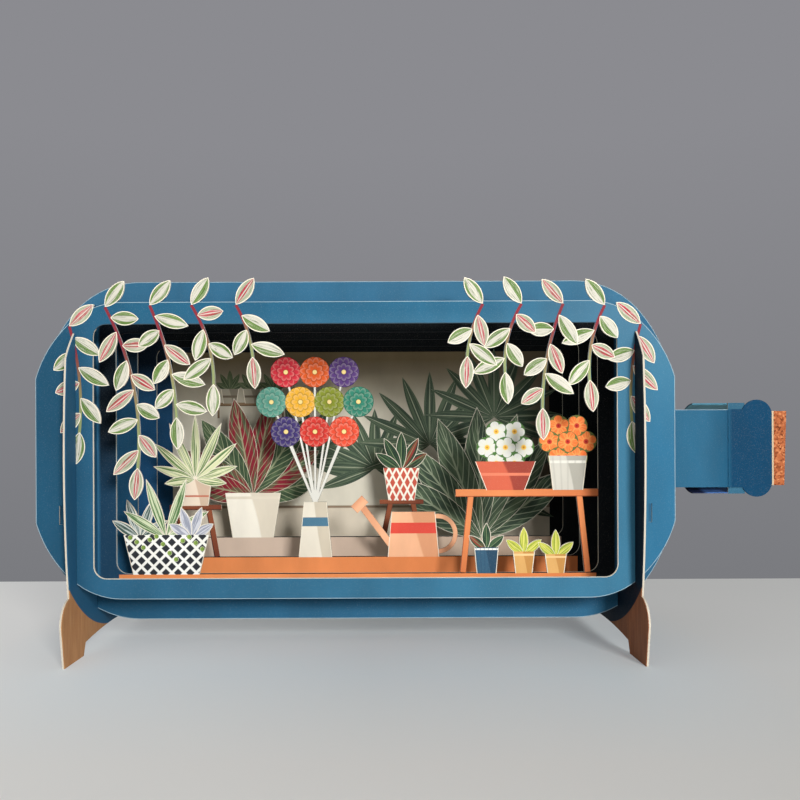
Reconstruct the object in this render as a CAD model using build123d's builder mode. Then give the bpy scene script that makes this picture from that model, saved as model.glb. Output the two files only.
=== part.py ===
from build123d import *
from math import acos, copysign, cos, degrees, hypot, radians, sin, sqrt
import os

os.makedirs("parts", exist_ok=True)

# Three-dimensional greeting card in the shape of a bottle that lies on its side along X.
# Five upright card sheets stand one behind another along Y. Each is the bottle's lengthwise
# section at its own depth. Two crosswise supports with feet slot through all five sheets.
# Sizes are in millimetres. In the sketches the origin is on the bottle's axis, at the middle
# of its body, x runs along the bottle and y is the height.

# Bottle body: a barrel whose ends fall on an ellipse to a core radius, cut off square before it
body_radius = 64.0
barrel_half = 78.8
end_length = 35.5
end_core = 22.0
end_flat = 24.2
ground_clearance = 6.5

# Card stock
card = 0.5
board = 0.9
slot_play = 0.1

# Sheets from front to back, and the windows in the first four
sheet_count = 5
sheet_pitch = 20.0
window_corner = 4.2
top_bar = 7.5
bottom_bar = 7.0
floor_rises = (0.0, -1.4, 2.0, 7.5)
window_insets = (6.4, 7.5, 9.3, 11.1)

# Supports: round top, bowed front and back edges, splayed feet with an arch between them.
# Edges are measured outwards from the front sheet, and heights from the ground.
support_past_barrel = 15.6
support_inset = 3.3
shoulder_cover = 6.9
shoulder_rise = 36.0
bow_cover = 9.1
waist_cover = 5.9
waist_height = 21.8
flare_cover = 10.8
flare_height = 18.9
ankle_cover = 12.7
ankle_height = 13.0
foot_cover = 10.4
foot_width = 16.6
step_width = 1.9
step_height = 4.3
arch_height = 6.2

# Slits in the front sheet, outboard of each support
slit_offset = 4.6
slit_width = 1.2
slit_length = 6.3
slit_drop = 21.6

# Neck on the middle sheet, with two ears at its end
neck_radius = 15.0
neck_fillet = 8.8
neck_length = 28.3
ear_length = 6.4
ear_rise = 2.5

# Lip card on the front of the neck, cork card behind it, and the strip bent round the back
lip_card = 0.5
lip_length = 16.7
lip_width = 11.7
lip_rise = 3.7
cork_shown = 5.8
cork_overlap = 9.8
cork_half_height = 14.3
cork_thickness = 1.5
cork_lean = 1.7
collar_gap = 14.7
collar_length = 18.0
collar_radius = 17.4

# Leaf garlands on the front sheet. Leaves stand on alternate sides of a vine and take their
# lengths and splays in turn. Each vine: how far its root lies inside the window's side, its
# length, and its heading at the root and its whole turn in degrees
leaf_lengths = (11.0, 9.6, 12.0, 9.0)
leaf_splays = (44.0, 62.0, 52.0, 72.0, 36.0)
leaf_width = 4.9
crown_splay = 64.0
leaf_spacing = 5.1
first_leaf_distance = 4.0
stem_width = 1.1
left_vine_insets = (-8.0, 4.0, 19.0, 33.0, 48.0)
left_vine_lengths = (37.0, 57.0, 40.0, 29.0, 19.5)
left_vine_headings = (-74, -62, -66, -58, -60)
left_vine_turns = (-22, -34, -22, -34, -26)
right_vine_insets = (-8.0, 4.0, 18.0, 32.0, 45.0)
right_vine_lengths = (34.0, 27.0, 37.0, 25.0, 19.5)
right_vine_headings = (-106, -118, -113, -121, -119)
right_vine_turns = (22, 34, 24, 36, 26)

# Second sheet: a planter at the left, a bench with a bowl and a pail at the right, and three
# pots below it. Insets are from the window's nearer side. Pots: width at the top, width at the
# base, height.
planter_inset = 17.9
planter = (31.0, 24.0, 14.0)
tuft_offsets = (-9.5, 0.0, 9.0)
tuft_lengths = (15.0, 23.0, 12.0)
tuft_headings = (32, 71, 109, 148)
tuft_width = 3.8
bench_span = 51.4
bench_height = 30.0
bench_board = 2.8
leg_insets = (6.9, 45.9)
leg_splays = (-3.0, 3.0)
leg_width = 2.2
bowl_inset = 33.4
bowl = (22.0, 14.0, 10.0)
pail_inset = 10.9
pail = (14.0, 11.0, 12.0)
posy_radius = 3.9
posy_ring_radius = 6.6
posy_rise = 5.0
posy_leaf_length = 15.0
floor_pot_insets = (40.4, 26.9, 15.4)
floor_pot_widths = (9.0, 8.0, 8.0)
floor_pot_heights = (9.0, 7.5, 6.5)
floor_pot_taper = 1.8
floor_pot_leaf_length = 10.0
floor_pot_headings = (40, 90, 140)
pot_leaf_width = 3.4

# Third sheet: a pot with arching blades on a stool near the left side, and from the middle of
# the window a jug with a bunch of round blossoms and a watering can
stool_inset = 22.1
stool = (20.0, 20.0, 2.0)
blade_pot = (13.0, 10.0, 11.0)
blade_headings = (-8, 17, 41, 65, 90, 115, 139, 163, 188)
blade_length = 25.0
blade_width = 3.8
jug_offset = -16.8
jug = (9.0, 13.0, 21.0)
bunch_counts = (3, 4, 3)
bunch_rises = (48.0, 59.5, 71.0)
bunch_spacing = 11.2
blossom_radius = 5.9
flower_stem_width = 0.9
can_offset = 21.0
can = (17.0, 20.0, 17.0)
spout_reach = 12.0
spout_rise = 16.0
spout_width = 2.6
rose_width = 6.0
handle_reach = 8.0
handle_width = 1.8

# Fourth sheet: an urn with broad leaves, a small pot on a stool and a tall plant
urn_inset = 39.3
urn = (23.0, 17.0, 18.0)
urn_headings = (12, 34, 56, 79, 101, 124, 146, 168)
urn_leaf_length = 41.0
urn_leaf_width = 11.0
side_offset = 17.0
side_stool = (18.0, 15.0, 2.0)
side_pot = (15.0, 11.0, 13.0)
side_headings = (34, 62, 90, 118, 146)
side_leaf_length = 16.0
side_leaf_width = 4.6
tall_inset = 33.3
tall_headings = (38, 56, 74, 92, 110, 128, 146)
tall_leaf_length = 54.0
tall_leaf_width = 13.0

front_depth = sheet_pitch * (sheet_count - 1) / 2
sheet_depths = [sheet_pitch * n - front_depth for n in range(sheet_count)]
axis_height = body_radius + ground_clearance
end_drop = body_radius - end_core
body_reach = barrel_half + end_length * sqrt(1 - ((end_flat - end_core) / end_drop) ** 2)
support_half_span = barrel_half + support_past_barrel
lip_start = body_reach + neck_length
lip_reach = lip_start + lip_length
cork_reach = lip_reach + cork_shown
collar_start = body_reach + collar_gap
body_middle = (body_reach - cork_reach) / 2


def section_height(x, depth):
    """Half height of the bottle's section: sqrt(radius^2 - depth^2), ends on an ellipse."""
    past_barrel = max(abs(x) - barrel_half, 0) / end_length
    radius = body_radius - end_drop * (1 - sqrt(1 - past_barrel**2))
    return sqrt(radius**2 - depth**2)


window_top = section_height(0, front_depth) - top_bar
window_floors = [bottom_bar + rise - section_height(0, front_depth) for rise in floor_rises]
window_sides = [support_half_span - inset for inset in window_insets]


def sheet_plane(depth):
    """Upright plane at a depth along Y that faces the front."""
    return Plane(origin=(body_middle, depth, axis_height), x_dir=(1, 0, 0), z_dir=(0, -1, 0))


def bottle_section(depth):
    """Face inside the bottle's lengthwise section at a depth: two arcs to each square end."""
    end_radius = hypot(end_flat, depth)
    end_turn = acos((end_radius - end_core) / end_drop)
    reaches = [barrel_half + end_length * sin(end_turn * n / 4) for n in range(5)]
    rim = [(reach, section_height(reach, depth)) for reach in reaches]
    with BuildLine() as outline:
        Line((0, rim[0][1]), rim[0])
        ThreePointArc(*rim[:3])
        ThreePointArc(*rim[2:])
        Line(rim[-1], (rim[-1][0], 0))
        mirror(about=Plane.YZ)
        mirror(about=Plane.XZ)
    make_face(outline.line)


def window(number):
    """Rounded window of a sheet, from its floor to its top."""
    height = window_top - window_floors[number]
    with Locations((0, window_floors[number] + height / 2)):
        RectangleRounded(2 * window_sides[number], height, window_corner, mode=Mode.SUBTRACT)


def support_slots():
    """Slots from below, up to the axis, in which a sheet stands over the two supports."""
    with Locations((-support_half_span, -body_radius / 2), (support_half_span, -body_radius / 2)):
        Rectangle(board + 2 * slot_play, body_radius, mode=Mode.SUBTRACT)


def bar(width, start, end):
    """Straight bar of card of an even width."""
    with BuildLine() as middle:
        Line(start, end)
    trace(middle.line, line_width=width)


def bent_bar(width, start, middle, end):
    """Bar of card of an even width along an arc through three points."""
    with BuildLine() as arc:
        ThreePointArc(start, middle, end)
    trace(arc.line, line_width=width)


def leaf(root, heading, length, width):
    """Lens-shaped leaf: two arcs from its root that meet in a point at its tip."""
    base = Vector(*root)
    along = Vector(length * cos(radians(heading)), length * sin(radians(heading)))
    across = Vector(-along.Y, along.X) * (width / 2 / length)
    with BuildLine() as edge:
        ThreePointArc(base, base + along / 2 + across, base + along)
        ThreePointArc(base + along, base + along / 2 - across, base)
    make_face(edge.line)


def leaf_fan(root, headings, length, width):
    """Fan of leaves from one root, the middle ones the longest."""
    for heading in headings:
        leaf(root, heading, length * (0.55 + 0.45 * sin(radians(heading))), width)


def vine_point(start, heading, radius, distance):
    """Point and heading on a vine that runs on a circle: heading + distance / radius."""
    first = radians(heading)
    last = first + distance / radius
    x = start[0] + radius * (sin(last) - sin(first))
    y = start[1] - radius * (cos(last) - cos(first))
    return (x, y), degrees(last)


def vine(x, length, heading, turn, order):
    """Vine from the sheet's top edge: an even curve, a leaf up, leaves by turns, one at the tip."""
    start = (x, section_height(x, front_depth) - stem_width)
    radius = length / radians(turn)
    middle, _ = vine_point(start, heading, radius, length / 2)
    tip, tip_heading = vine_point(start, heading, radius, length)
    bent_bar(stem_width, start, middle, tip)
    root, _ = vine_point(start, heading, radius, length - stem_width)
    leaf(root, tip_heading, leaf_lengths[0], leaf_width)
    crown_side = copysign(crown_splay, turn)
    leaf(start, heading + 180 + crown_side, leaf_lengths[0], leaf_width)
    for n in range(int((length - first_leaf_distance) / leaf_spacing)):
        distance = first_leaf_distance + n * leaf_spacing
        root, root_heading = vine_point(start, heading, radius, distance)
        splay = (-1) ** n * leaf_splays[(n + order) % len(leaf_splays)]
        leaf_length = leaf_lengths[(n + order) % len(leaf_lengths)]
        leaf(root, root_heading + splay, leaf_length, leaf_width)


def pot(x, floor, top_width, base_width, height):
    """Tapered pot that stands on a floor line. It reaches into what it stands on."""
    with BuildLine() as side:
        Polyline(
            (x - base_width / 2, floor - card),
            (x + base_width / 2, floor - card),
            (x + top_width / 2, floor + height),
            (x - top_width / 2, floor + height),
            close=True,
        )
    make_face(side.line)


def posy(x, floor, top_width, base_width, height):
    """Pot with leaves and a round bunch of seven blossoms above its rim."""
    pot(x, floor, top_width, base_width, height)
    leaf_fan((x, floor + height - stem_width), tuft_headings, posy_leaf_length, pot_leaf_width)
    with Locations((x, floor + height + posy_rise)):
        Circle(posy_radius)
        with PolarLocations(posy_ring_radius, 6):
            Circle(posy_radius)


def small_stool(x, floor, width, height, thickness):
    """Stool: a seat board and two splayed legs."""
    seat = floor + height - thickness / 2
    bar(thickness, (x - width / 2, seat), (x + width / 2, seat))
    for side in (-1, 1):
        top = (x + side * width / 4, seat)
        bar(leg_width, top, (x + side * width / 2.4, floor - card))


# Front sheet: a frame with garlands of leaves that hang from its top edge into its window
with BuildPart() as front_frame:
    with BuildSketch(sheet_plane(sheet_depths[0])):
        bottle_section(sheet_depths[0])
        window(0)
        for order, (inset, *course) in enumerate(
            zip(left_vine_insets, left_vine_lengths, left_vine_headings, left_vine_turns)
        ):
            vine(inset - window_sides[0], *course, order)
        for order, (inset, *course) in enumerate(
            zip(right_vine_insets, right_vine_lengths, right_vine_headings, right_vine_turns)
        ):
            vine(window_sides[0] - inset, *course, order)
        support_slots()
        slit_x = support_half_span + slit_offset
        with Locations((-slit_x, -slit_drop), (slit_x, -slit_drop)):
            Rectangle(slit_width, slit_length, mode=Mode.SUBTRACT)
    extrude(amount=card / 2, both=True)
front_frame.part.label = "front_frame"
export_step(front_frame.part, "parts/front_frame.step")

# Second sheet: a planter with three tufts, and a bench that runs into the window's right side
with BuildPart() as second_frame:
    floor = window_floors[1]
    bench_top = floor + bench_height
    bench_middle = bench_top - bench_board / 2
    side_x = window_sides[1]
    with BuildSketch(sheet_plane(sheet_depths[1])):
        bottle_section(sheet_depths[1])
        window(1)
        planter_x = planter_inset - side_x
        pot(planter_x, floor, *planter)
        for offset, tuft_length in zip(tuft_offsets, tuft_lengths):
            tuft_root = (planter_x + offset, floor + planter[2] - stem_width)
            leaf_fan(tuft_root, tuft_headings, tuft_length, tuft_width)
        bar(bench_board, (side_x - bench_span, bench_middle), (side_x + card, bench_middle))
        for leg_inset, splay in zip(leg_insets, leg_splays):
            leg_x = side_x - leg_inset
            bar(leg_width, (leg_x, bench_middle), (leg_x - splay, floor - card))
        posy(side_x - bowl_inset, bench_top, *bowl)
        posy(side_x - pail_inset, bench_top, *pail)
        for inset, width, height in zip(floor_pot_insets, floor_pot_widths, floor_pot_heights):
            pot(side_x - inset, floor, width, width - floor_pot_taper, height)
            pot_root = (side_x - inset, floor + height - stem_width)
            leaf_fan(pot_root, floor_pot_headings, floor_pot_leaf_length, pot_leaf_width)
        support_slots()
    extrude(amount=card / 2, both=True)
second_frame.part.label = "second_frame"
export_step(second_frame.part, "parts/second_frame.step")

# Middle sheet: the neck and its ears, a plant on a stool, a bunch of blossoms, a watering can
with BuildPart() as middle_frame:
    floor = window_floors[2]
    with BuildSketch(sheet_plane(sheet_depths[2])) as middle_sketch:
        bottle_section(sheet_depths[2])
        Rectangle(lip_start, 2 * neck_radius, align=(Align.MIN, Align.CENTER))
        shoulders = middle_sketch.vertices().filter_by_position(
            Axis.X, body_reach - card, body_reach + card
        )
        fillet(shoulders.filter_by_position(Axis.Y, -neck_radius, neck_radius), neck_fillet)
        with Locations((lip_start, 0)):
            Rectangle(ear_length, 2 * (neck_radius + ear_rise), align=(Align.MIN, Align.CENTER))
        window(2)
        stool_x = stool_inset - window_sides[2]
        stool_top = floor + stool[1]
        small_stool(stool_x, floor, *stool)
        pot(stool_x, stool_top, *blade_pot)
        blade_root = (stool_x, stool_top + blade_pot[2] - stem_width)
        leaf_fan(blade_root, blade_headings, blade_length, blade_width)
        pot(jug_offset, floor, *jug)
        jug_mouth = (jug_offset, floor + jug[2] - stem_width)
        for count, rise in zip(bunch_counts, bunch_rises):
            for n in range(count):
                blossom_x = jug_offset + (n - (count - 1) / 2) * bunch_spacing
                bar(flower_stem_width, jug_mouth, (blossom_x, floor + rise))
                with Locations((blossom_x, floor + rise)):
                    Circle(blossom_radius)
        pot(can_offset, floor, *can)
        spout_root = (can_offset - can[1] / 2 + spout_width, floor + spout_width)
        spout_tip = (spout_root[0] - spout_reach, spout_root[1] + spout_rise)
        bar(spout_width, spout_root, spout_tip)
        bar(rose_width, spout_tip, (spout_tip[0] - spout_width, spout_tip[1] + spout_width))
        handle_x = can_offset + can[1] / 2 - handle_width
        handle_top = (handle_x, floor + can[2] - handle_width)
        handle_middle = (handle_x + handle_reach, floor + can[2] / 2)
        bent_bar(handle_width, handle_top, handle_middle, (handle_x, floor + handle_width))
        support_slots()
    extrude(amount=card / 2, both=True)
middle_frame.part.label = "middle_frame"
export_step(middle_frame.part, "parts/middle_frame.step")

# Fourth sheet: an urn with broad leaves, a small pot on a stool and a tall plant at the right
with BuildPart() as fourth_frame:
    floor = window_floors[3]
    with BuildSketch(sheet_plane(sheet_depths[3])):
        bottle_section(sheet_depths[3])
        window(3)
        urn_x = urn_inset - window_sides[3]
        pot(urn_x, floor, *urn)
        leaf_fan((urn_x, floor + urn[2] - stem_width), urn_headings, urn_leaf_length, urn_leaf_width)
        side_top = floor + side_stool[1]
        small_stool(side_offset, floor, *side_stool)
        pot(side_offset, side_top, *side_pot)
        side_root = (side_offset, side_top + side_pot[2] - stem_width)
        leaf_fan(side_root, side_headings, side_leaf_length, side_leaf_width)
        tall_root = (window_sides[3] - tall_inset, floor - stem_width)
        leaf_fan(tall_root, tall_headings, tall_leaf_length, tall_leaf_width)
        support_slots()
    extrude(amount=card / 2, both=True)
fourth_frame.part.label = "fourth_frame"
export_step(fourth_frame.part, "parts/fourth_frame.step")

# Back sheet: no window, its front face carries the printed backdrop
with BuildPart() as back_panel:
    with BuildSketch(sheet_plane(sheet_depths[4])):
        bottle_section(sheet_depths[4])
        support_slots()
    extrude(amount=card / 2, both=True)
back_panel.part.label = "back_panel"
export_step(back_panel.part, "parts/back_panel.step")

# Supports: bowed board with feet, round at the top, slotted from above down to the bottle's axis
support_radius = section_height(support_half_span, 0) - support_inset
shoulder = (front_depth + shoulder_cover, shoulder_rise)
bow = (front_depth + bow_cover, 0)
waist = (front_depth + waist_cover, waist_height - axis_height)
flare = (front_depth + flare_cover, flare_height - axis_height)
ankle = (front_depth + ankle_cover, ankle_height - axis_height)
foot_outer = (front_depth + foot_cover, -axis_height)
foot_inner = (foot_outer[0] - foot_width, -axis_height)
step = (foot_inner[0] - step_width, step_height - axis_height)
arch_top = (0, arch_height - axis_height)

for side, support_name in ((-1, "left_support"), (1, "right_support")):
    support_x = body_middle + side * support_half_span
    support_plane = Plane(origin=(support_x, 0, axis_height), x_dir=(0, 1, 0), z_dir=(1, 0, 0))
    with BuildPart() as support:
        with BuildSketch(support_plane):
            with BuildLine():
                Line((0, body_radius), (shoulder[0], body_radius))
                Line((shoulder[0], body_radius), shoulder)
                ThreePointArc(shoulder, bow, waist)
                ThreePointArc(waist, flare, ankle)
                Line(ankle, foot_outer)
                Line(foot_outer, foot_inner)
                Line(foot_inner, step)
                mirror(about=Plane.YZ)
                ThreePointArc(step, arch_top, (-step[0], step[1]))
            make_face()
            with BuildLine():
                CenterArc((0, 0), support_radius, 0, 180)
                Line((-support_radius, 0), (-support_radius, -axis_height))
                Line((-support_radius, -axis_height), (support_radius, -axis_height))
                Line((support_radius, -axis_height), (support_radius, 0))
            make_face(mode=Mode.INTERSECT)
            with Locations(*[(depth, body_radius / 2) for depth in sheet_depths]):
                Rectangle(card + 2 * slot_play, body_radius, mode=Mode.SUBTRACT)
        extrude(amount=board / 2, both=True)
    support.part.label = support_name
    export_step(support.part, f"parts/{support_name}.step")

# Lip: a card on the front of the neck, a bar with a taller rounded band at its end
with BuildPart() as neck_lip:
    with BuildSketch(sheet_plane(sheet_depths[2] - card / 2 - lip_card)):
        with Locations((lip_start + (lip_length - lip_width / 2) / 2, 0)):
            Rectangle(lip_length - lip_width / 2, 2 * neck_radius)
        with Locations((lip_reach - lip_width / 2, 0)):
            SlotOverall(2 * (neck_radius + lip_rise), lip_width, rotation=90)
    extrude(amount=-lip_card)
neck_lip.part.label = "neck_lip"
export_step(neck_lip.part, "parts/neck_lip.step")

# Cork: a thicker card behind the lip, with an end that leans out a little at the top
with BuildPart() as cork:
    with BuildSketch(sheet_plane(sheet_depths[2] - card / 2)):
        lean = 2 * cork_half_height * sin(radians(cork_lean))
        with BuildLine():
            Polyline(
                (lip_reach - cork_overlap, -cork_half_height),
                (cork_reach - lean, -cork_half_height),
                (cork_reach, cork_half_height),
                (lip_reach - cork_overlap, cork_half_height),
                close=True,
            )
        make_face()
    extrude(amount=-cork_thickness)
cork.part.label = "cork"
export_step(cork.part, "parts/cork.step")

# Collar: a strip of card bent to a half tube round the back of the neck, held at the ears
collar_origin = (body_middle + collar_start, sheet_depths[2] + card / 2, axis_height)
with BuildPart() as neck_collar:
    with BuildSketch(Plane(origin=collar_origin, x_dir=(0, 1, 0), z_dir=(1, 0, 0))):
        Circle(collar_radius)
        Circle(collar_radius - card, mode=Mode.SUBTRACT)
        with Locations((-collar_radius / 2, 0)):
            Rectangle(collar_radius, 2 * collar_radius, mode=Mode.SUBTRACT)
    extrude(amount=collar_length)
neck_collar.part.label = "neck_collar"
export_step(neck_collar.part, "parts/neck_collar.step")
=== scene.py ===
import bpy
import numpy as np
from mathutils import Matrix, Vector


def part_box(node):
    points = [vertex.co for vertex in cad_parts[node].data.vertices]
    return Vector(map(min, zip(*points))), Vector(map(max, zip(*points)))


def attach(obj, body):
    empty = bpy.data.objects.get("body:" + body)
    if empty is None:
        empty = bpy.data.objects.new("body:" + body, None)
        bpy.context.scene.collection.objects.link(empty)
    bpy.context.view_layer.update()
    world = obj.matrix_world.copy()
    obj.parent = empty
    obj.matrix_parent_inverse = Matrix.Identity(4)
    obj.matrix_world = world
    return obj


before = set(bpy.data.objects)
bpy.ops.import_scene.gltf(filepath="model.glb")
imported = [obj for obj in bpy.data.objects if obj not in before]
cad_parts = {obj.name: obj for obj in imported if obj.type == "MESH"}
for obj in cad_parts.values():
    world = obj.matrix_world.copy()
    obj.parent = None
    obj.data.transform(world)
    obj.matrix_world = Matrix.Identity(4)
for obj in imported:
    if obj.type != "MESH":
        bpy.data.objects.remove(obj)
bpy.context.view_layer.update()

# Front sheet. One sheet of 0.5 mm card, printed blue and die-cut with its window and with the
# garlands that hang into it. It stands in the slots of the two supports. Sizes in this and the
# other sections are in millimetres from the bottle's axis, at the middle of its body.
plain_low, plain_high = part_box("back_panel")
axis_x = (plain_low.x + plain_high.x) / 2
axis_z = (plain_low.z + plain_high.z) / 2
sheet_order = ("front_frame", "second_frame", "middle_frame", "fourth_frame", "back_panel")
sheet_depths = {name: 500 * (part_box(name)[0].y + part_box(name)[1].y) for name in sheet_order}
body_radius = 500 * (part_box("middle_frame")[1].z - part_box("middle_frame")[0].z)
half_height = 500 * (plain_high.z - plain_low.z)
barrel_half = 78.8
end_length = 35.5
end_core = 22.0
end_flat = 24.2
slot_side = (93.8, 95.0)
window_corner = 4.2
window_top = half_height - 7.5
window_floors = {name: 7.0 + rise - half_height for name, rise in
                 zip(sheet_order, (0.0, -1.4, 2.0, 7.5))}
window_sides = dict(zip(sheet_order, (88.0, 86.9, 85.1, 83.3)))


def ink(red, green, blue):
    """A printing ink as a linear colour, from red, green and blue out of 255."""
    mixed = np.array([red, green, blue]) / 255
    linear = np.where(mixed <= 0.04045, mixed / 12.92, ((mixed + 0.055) / 1.055) ** 2.4)
    return (*[float(part) for part in linear], 1.0)


cream = ink(238, 229, 209)


class Value:
    """One output of a shader node. Sums, products and comparisons with it add math nodes."""

    def __init__(self, socket):
        self.socket = socket
        self.tree = socket.id_data

    def __add__(self, other):
        return measure("ADD", self, other)

    def __sub__(self, other):
        return measure("SUBTRACT", self, other)

    def __rsub__(self, other):
        return measure("SUBTRACT", other, self)

    def __mul__(self, other):
        return measure("MULTIPLY", self, other)

    def __truediv__(self, other):
        return measure("DIVIDE", self, other)

    def __lt__(self, other):
        return measure("LESS_THAN", self, other)

    def __gt__(self, other):
        return measure("GREATER_THAN", self, other)

    def __abs__(self):
        return measure("ABSOLUTE", self)


def node(tree, kind, sockets=None, output=0, **settings):
    """Adds a shader node and returns one of its outputs. A socket gets either a plain value or
    another node's output."""
    made = tree.nodes.new(kind)
    for key, value in settings.items():
        setattr(made, key, value)
    for key, value in (sockets or {}).items():
        if isinstance(value, Value):
            tree.links.new(value.socket, made.inputs[key])
        else:
            made.inputs[key].default_value = value
    return Value(made.outputs[output])


def measure(operation, *values):
    """One math node on values and outputs."""
    tree = next(value.tree for value in values if isinstance(value, Value))
    return node(tree, "ShaderNodeMath", dict(enumerate(values)), operation=operation)


def fade(value, start, end):
    """Mask that rises from 0 at the start value to 1 at the end value."""
    sockets = {"Value": value, "From Min": start, "From Max": end}
    return node(value.tree, "ShaderNodeMapRange", sockets)


def overprint(below, *layers):
    """Prints inks over an ink, one after another. Each layer is a mask and the ink that covers
    what is below as far as the mask says."""
    for mask, above in layers:
        sockets = {0: mask, 6: below, 7: above}
        below = node(mask.tree, "ShaderNodeMix", sockets, 2, data_type="RGBA")
    return below


def noise(vector, scale, detail=2.0, roughness=0.5, distortion=0.0):
    """Clouds of noise over a vector."""
    sockets = {"Vector": vector, "Scale": scale, "Detail": detail, "Roughness": roughness,
               "Distortion": distortion}
    return node(vector.tree, "ShaderNodeTexNoise", sockets)


def split(vector):
    """The X, Y and Z of a vector."""
    first = node(vector.tree, "ShaderNodeSeparateXYZ", {"Vector": vector})
    return [Value(part) for part in first.socket.node.outputs]


def object_place(tree):
    """A point of the piece, in metres."""
    return node(tree, "ShaderNodeTexCoord", output="Object")


def pattern_parts(tree):
    """The two pattern coordinates of a printed shape: along it and across it."""
    return split(node(tree, "ShaderNodeUVMap", uv_map="print"))[:2]


def attribute(tree, name):
    """A value that the mesh carries: mm to the shape's edge, or the shape's tone."""
    return node(tree, "ShaderNodeAttribute", output="Fac", attribute_name=name)


def beyond(tree, direction, start, end):
    """Mask that rises from 0 to 1 between two places, in mm from the bottle's axis."""
    axis = "XYZ".index(direction)
    origin = (axis_x, 0.0, axis_z)[axis]
    return fade(split(object_place(tree))[axis], origin + start / 1000, origin + end / 1000)


def new_group(name, inputs):
    """Starts a node group. An input whose value is a tuple holds a colour, and any other one a
    number. Returns the group and its inputs."""
    group = bpy.data.node_groups.new(name, "ShaderNodeTree")
    for title, value in inputs.items():
        kind = "NodeSocketColor" if isinstance(value, tuple) else "NodeSocketFloat"
        socket = group.interface.new_socket(title, in_out="INPUT", socket_type=kind)
        socket.default_value = value
    taken = group.nodes.new("NodeGroupInput").outputs
    return group, [Value(taken[title]) for title in inputs]


def give(group, outputs):
    """Ends a node group with its named outputs."""
    for title, value in outputs.items():
        kind = "NodeSocketColor" if value.socket.type == "RGBA" else "NodeSocketFloat"
        group.interface.new_socket(title, in_out="OUTPUT", socket_type=kind)
    given = group.nodes.new("NodeGroupOutput").inputs
    for title, value in outputs.items():
        group.links.new(value.socket, given[title])


def placed(tree, group, sockets=None):
    """Places a node group in a material, with its own values. Returns its outputs by name."""
    first = node(tree, "ShaderNodeGroup", sockets, node_tree=group)
    return {given.name: Value(given) for given in first.socket.node.outputs}


# Paper grain: short fibres and a finer tooth for the bump, clouds for the ink, and pale speckle
paper_grain, (fibre_scale, cloud_scale) = new_group(
    "paper_grain", {"Fibre Scale": 900.0, "Cloud Scale": 70.0})
place = object_place(paper_grain)
laid = node(paper_grain, "ShaderNodeMapping", {"Vector": place, "Scale": (1.0, 1.0, 0.45)})
tooth = noise(place, 3200.0)
give(paper_grain, {
    "Height": noise(laid, fibre_scale, 4.0, 0.6) + tooth * 0.5,
    "Cloud": fade(noise(laid, cloud_scale, 5.0), 0.3, 0.7),
    "Speckle": fade(tooth, 0.58, 0.72)})

# Uneven ink: the clouds thin or thicken it, and card shows through in pale specks
uneven_ink, (colour, cloud, speckle, darker, lighter) = new_group("uneven_ink", {
    "Colour": cream, "Cloud": 0.5, "Speckle": 0.0, "Darker": 0.87, "Lighter": 1.08})
strength = node(uneven_ink, "ShaderNodeMapRange", {
    "Value": cloud, "To Min": darker, "To Max": lighter})
clouded = node(uneven_ink, "ShaderNodeVectorMath", {0: colour, 3: strength}, operation="SCALE")
give(uneven_ink, {"Colour": overprint(clouded, (speckle * 0.05, cream))})

# Card sides: masks for the printed front, the back, the flanks, and cut edges that face down
square_on = 0.7
card_sides, _ = new_group("card_sides", {})
sideways, inward, upward = split(node(card_sides, "ShaderNodeNewGeometry", output="True Normal"))
give(card_sides, {"Front": inward < -square_on, "Back": inward > square_on,
                  "Flank": abs(sideways) > square_on, "Downward": upward < -square_on})

# Bare rim: the print of a shape stops this many mm short of its cut edge
bare_rim, (width,) = new_group("bare_rim", {"Width": 0.3})
give(bare_rim, {"Rim": fade(attribute(bare_rim, "rim"), width, width - 0.1)})

# Leaf streaks: noise drawn out along a leaf, which differs from one leaf to the next
leaf_streaks, (lengthwise, crosswise, seed) = new_group(
    "leaf_streaks", {"Along": 1.3, "Across": 8.0, "Seed": 3.0})
u, v = pattern_parts(leaf_streaks)
drawn = node(leaf_streaks, "ShaderNodeCombineXYZ", {
    0: u * lengthwise, 1: v * crosswise, 2: attribute(leaf_streaks, "tone") * 40.0 + seed})
give(leaf_streaks, {"Streak": noise(drawn, 1.0, 3.0, distortion=0.4)})


def streaks(tree, along, across, seed):
    """Streaks with their own scale along and across a leaf."""
    return placed(tree, leaf_streaks, {"Along": along, "Across": across, "Seed": seed})["Streak"]


def new_finish(name):
    """Starts a finish. Returns the material and its node tree."""
    finish = bpy.data.materials.new(name)
    finish.use_nodes = True
    return finish, finish.node_tree


def lay_print(finish, colour, rim_width=0.0, roughness=0.62):
    """Lays a colour on the paper as uneven ink, with bare card as wide as the rim. The paper's
    grain goes into the bump and the roughness of the Principled shader."""
    tree = finish.node_tree
    shader = tree.nodes["Principled BSDF"].inputs
    grain = placed(tree, paper_grain)
    sockets = {"Colour": colour, "Cloud": grain["Cloud"], "Speckle": grain["Speckle"]}
    printed = placed(tree, uneven_ink, sockets)["Colour"]
    if rim_width > 0:
        printed = overprint(printed, (placed(tree, bare_rim, {"Width": rim_width})["Rim"], cream))
    bumped = node(tree, "ShaderNodeBump", {
        "Height": grain["Height"], "Strength": 0.5, "Distance": 0.00004})
    rough = node(tree, "ShaderNodeMapRange", {
        "Value": grain["Cloud"], "To Min": roughness - 0.06, "To Max": roughness + 0.06})
    for title, value in (("Base Color", printed), ("Roughness", rough), ("Normal", bumped)):
        tree.links.new(value.socket, shader[title])
    shader["Specular IOR Level"].default_value = 0.09
    return finish


def lay_card(finish, front, back):
    """Lays a front and a back on a sheet. Its cut edges stay as the card is, and those that face
    down are painted dark grey as painted shade."""
    sides = placed(finish.node_tree, card_sides)
    return lay_print(finish, overprint(cream, (sides["Downward"], ink(66, 70, 74)),
                                       (sides["Back"], back), (sides["Front"], front)))


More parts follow.
